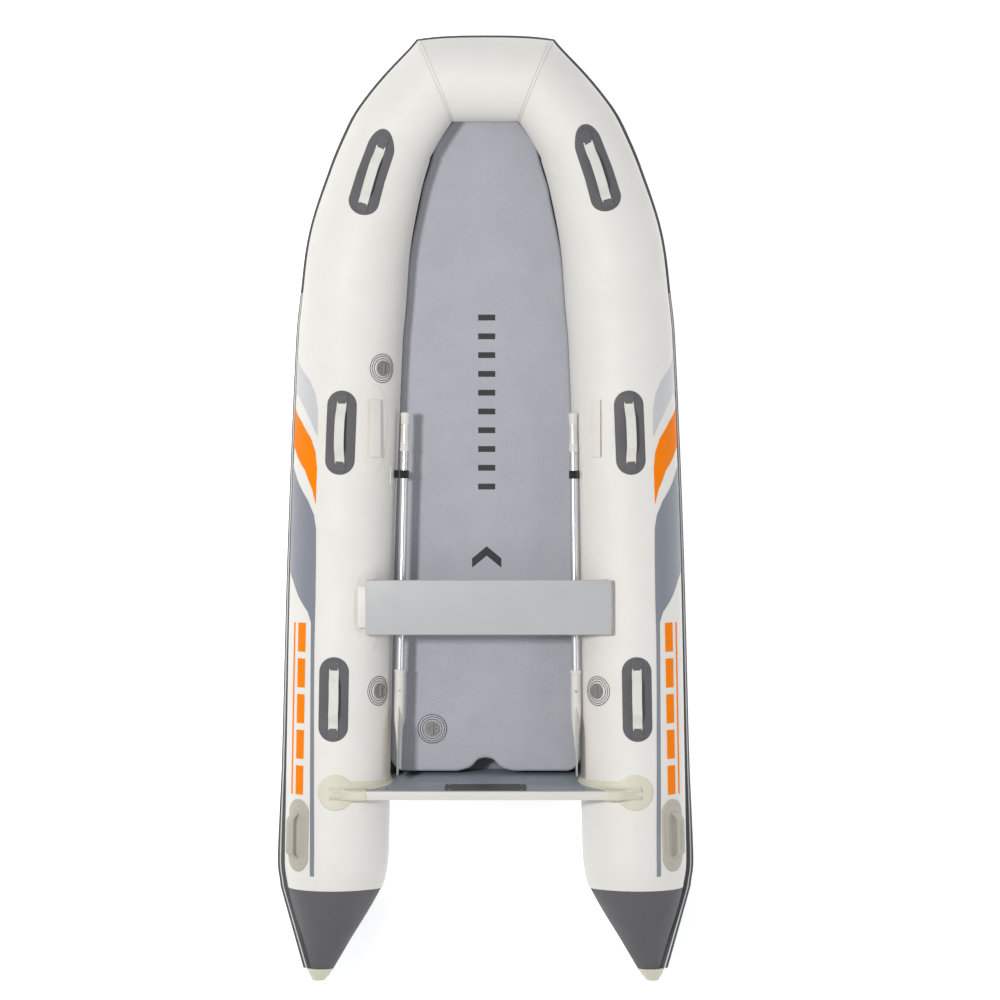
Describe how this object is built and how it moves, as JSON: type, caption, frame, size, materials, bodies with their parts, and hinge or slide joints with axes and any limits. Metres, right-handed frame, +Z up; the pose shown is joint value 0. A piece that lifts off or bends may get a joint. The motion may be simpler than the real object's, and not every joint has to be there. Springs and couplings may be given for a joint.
{
  "type": "inflatable dinghy",
  "caption": "Roll-up inflatable boat with two side tubes and a mitred bow tube, an air deck, a board transom, a sliding bench, stowed oars, grab handles and air valves.",
  "frame": {"origin": "on the ground plane under the middle of the bounding box, amidships on the centreline", "axes": "+X to starboard, +Y towards the bow, +Z up"},
  "size_m": [1.5582, 3.5, 0.5094],
  "materials": {
    "tube_pvc": "coated fabric, satin, light warm white",
    "grey_pvc": "coated fabric, dark grey",
    "strake_rubber": "extruded rubber, mid grey",
    "cream_rubber": "moulded rubber, cream",
    "deck_pvc": "embossed coated fabric, blue grey",
    "hull_pvc": "coated fabric, grey",
    "transom_ply": "painted marine plywood, blue grey",
    "white_plastic": "moulded plastic, off-white",
    "motor_pad": "moulded plastic, dark grey",
    "steel": "stainless steel",
    "rail_rubber": "extruded rubber, light",
    "bench_board": "painted marine plywood, light grey",
    "bracket_plastic": "moulded plastic, grey",
    "webbing": "woven webbing, off-white",
    "black_strap": "woven hook-and-loop strap, black",
    "valve_plastic": "moulded plastic, light grey",
    "valve_cap": "moulded plastic, grey",
    "plunger_plastic": "moulded plastic",
    "oar_tube": "anodised aluminium tube",
    "grey_rubber": "moulded rubber, grey"
  },
  "bodies": {
    "root": {"aft_seat_rails": "rail_rubber", "bottom_fabric": "hull_pvc", "bow_rub_strake": "strake_rubber", "bow_tow_patch": "grey_rubber", "bow_tube": "tube_pvc", "deck_bottom_sheet": "deck_pvc", "deck_side_wall": "deck_pvc", "deck_top_sheet": "deck_pvc", "deck_valve_body": "valve_plastic", "fore_seat_rails": "rail_rubber", "inner_motor_plate": "motor_pad", "keel_tube": "hull_pvc", "motor_plate_bolts": "steel", "outer_motor_plate": "motor_pad", "port_aft_valve_body": "valve_plastic", "port_carry_handle": "cream_rubber", "port_cone_cap": "cream_rubber", "port_fore_valve_body": "valve_plastic", "port_handle_patches": "grey_pvc", "port_handle_straps": "webbing", "port_oar_strap": "black_strap", "port_rub_strake": "strake_rubber", "port_stern_cone": "grey_pvc", "port_transom_holder": "cream_rubber", "port_tube": "tube_pvc", "seat_rail_patches": "tube_pvc", "starboard_aft_valve_body": "valve_plastic", "starboard_carry_handle": "cream_rubber", "starboard_cone_cap": "cream_rubber", "starboard_handle_patches": "grey_pvc", "starboard_handle_straps": "webbing", "starboard_oar_strap": "black_strap", "starboard_rub_strake": "strake_rubber", "starboard_stern_cone": "grey_pvc", "starboard_transom_holder": "cream_rubber", "starboard_tube": "tube_pvc", "transom_board": "transom_ply", "transom_edge_trim": "white_plastic", "transom_screws": "steel", "tube_baffles": "tube_pvc"},
    "seat": {"seat_board": "bench_board", "seat_brackets": "bracket_plastic"},
    "port_oar": {"port_oar_shaft": "oar_tube", "port_oar_grip": "white_plastic", "port_oar_blade": "white_plastic"},
    "port_oar_button": {"port_oar_button": "steel"},
    "starboard_oar": {"starboard_oar_shaft": "oar_tube", "starboard_oar_grip": "white_plastic", "starboard_oar_blade": "white_plastic"},
    "starboard_oar_button": {"starboard_oar_button": "steel"},
    "tow_ring": {"bow_tow_ring": "steel"},
    "port_aft_valve_cap": {"port_aft_valve_cap": "valve_cap"},
    "port_aft_valve_plunger": {"port_aft_valve_plunger": "plunger_plastic"},
    "starboard_aft_valve_cap": {"starboard_aft_valve_cap": "valve_cap"},
    "starboard_aft_valve_plunger": {"starboard_aft_valve_plunger": "plunger_plastic"},
    "port_fore_valve_cap": {"port_fore_valve_cap": "valve_cap"},
    "port_fore_valve_plunger": {"port_fore_valve_plunger": "plunger_plastic"},
    "deck_valve_cap": {"deck_valve_cap": "valve_cap"},
    "deck_valve_plunger": {"deck_valve_plunger": "plunger_plastic"}
  },
  "joints": [
    {"name": "seat_slide", "type": "slide", "parent": "root", "child": "seat", "axis": [0, 1, 0], "range_m": [-0.02, 0.12]},
    {"name": "port_oar_slide", "type": "slide", "parent": "root", "child": "port_oar", "axis": [0.0218, 0.9997, 0.0133], "range_m": [0, 0.08]},
    {"name": "port_oar_button_press", "type": "slide", "parent": "port_oar", "child": "port_oar_button", "axis": [0.0003, 0.0133, -0.9999], "range_m": [0, 0.0035], "stiffness_N_per_m": 800, "springref_m": -0.001},
    {"name": "starboard_oar_slide", "type": "slide", "parent": "root", "child": "starboard_oar", "axis": [-0.0104, 0.9998, 0.017], "range_m": [0, 0.08]},
    {"name": "starboard_oar_button_press", "type": "slide", "parent": "starboard_oar", "child": "starboard_oar_button", "axis": [-0.0002, 0.017, -0.9999], "range_m": [0, 0.0035], "stiffness_N_per_m": 800, "springref_m": -0.001},
    {"name": "port_aft_valve_cap_turn", "type": "hinge", "parent": "root", "child": "port_aft_valve_cap", "pos_m": [-0.39626, -0.66253, 0.31952], "axis": [0.7659, -0.013, 0.6428], "range_deg": [0, 90]},
    {"name": "port_aft_valve_plunger_press", "type": "slide", "parent": "root", "child": "port_aft_valve_plunger", "axis": [-0.7659, 0.013, -0.6428], "range_m": [0, 0.005], "stiffness_N_per_m": 400, "springref_m": -0.001},
    {"name": "starboard_aft_valve_cap_turn", "type": "hinge", "parent": "root", "child": "starboard_aft_valve_cap", "pos_m": [0.41511, -0.66221, 0.33904], "axis": [-0.669, -0.0114, 0.7431], "range_deg": [0, 90]},
    {"name": "starboard_aft_valve_plunger_press", "type": "slide", "parent": "root", "child": "starboard_aft_valve_plunger", "axis": [0.669, 0.0114, -0.7431], "range_m": [0, 0.005], "stiffness_N_per_m": 400, "springref_m": -0.001},
    {"name": "port_fore_valve_cap_turn", "type": "hinge", "parent": "root", "child": "port_fore_valve_cap", "pos_m": [-0.38131, 0.5305, 0.34276], "axis": [0.655, -0.0386, 0.7546], "range_deg": [0, 90]},
    {"name": "port_fore_valve_plunger_press", "type": "slide", "parent": "root", "child": "port_fore_valve_plunger", "axis": [-0.655, 0.0386, -0.7546], "range_m": [0, 0.005], "stiffness_N_per_m": 400, "springref_m": -0.001},
    {"name": "deck_valve_cap_turn", "type": "hinge", "parent": "root", "child": "deck_valve_cap", "pos_m": [-0.2, -0.815, 0.15], "axis": [0, 0, 1], "range_deg": [0, 90]},
    {"name": "deck_valve_plunger_press", "type": "slide", "parent": "root", "child": "deck_valve_plunger", "axis": [0, 0, -1], "range_m": [0, 0.005], "stiffness_N_per_m": 400, "springref_m": -0.001},
    {"name": "tow_ring_swing", "type": "hinge", "parent": "root", "child": "tow_ring", "pos_m": [0, 1.65531, 0.20099], "axis": [1, 0, 0], "range_deg": [-60, 100]}
  ]
}
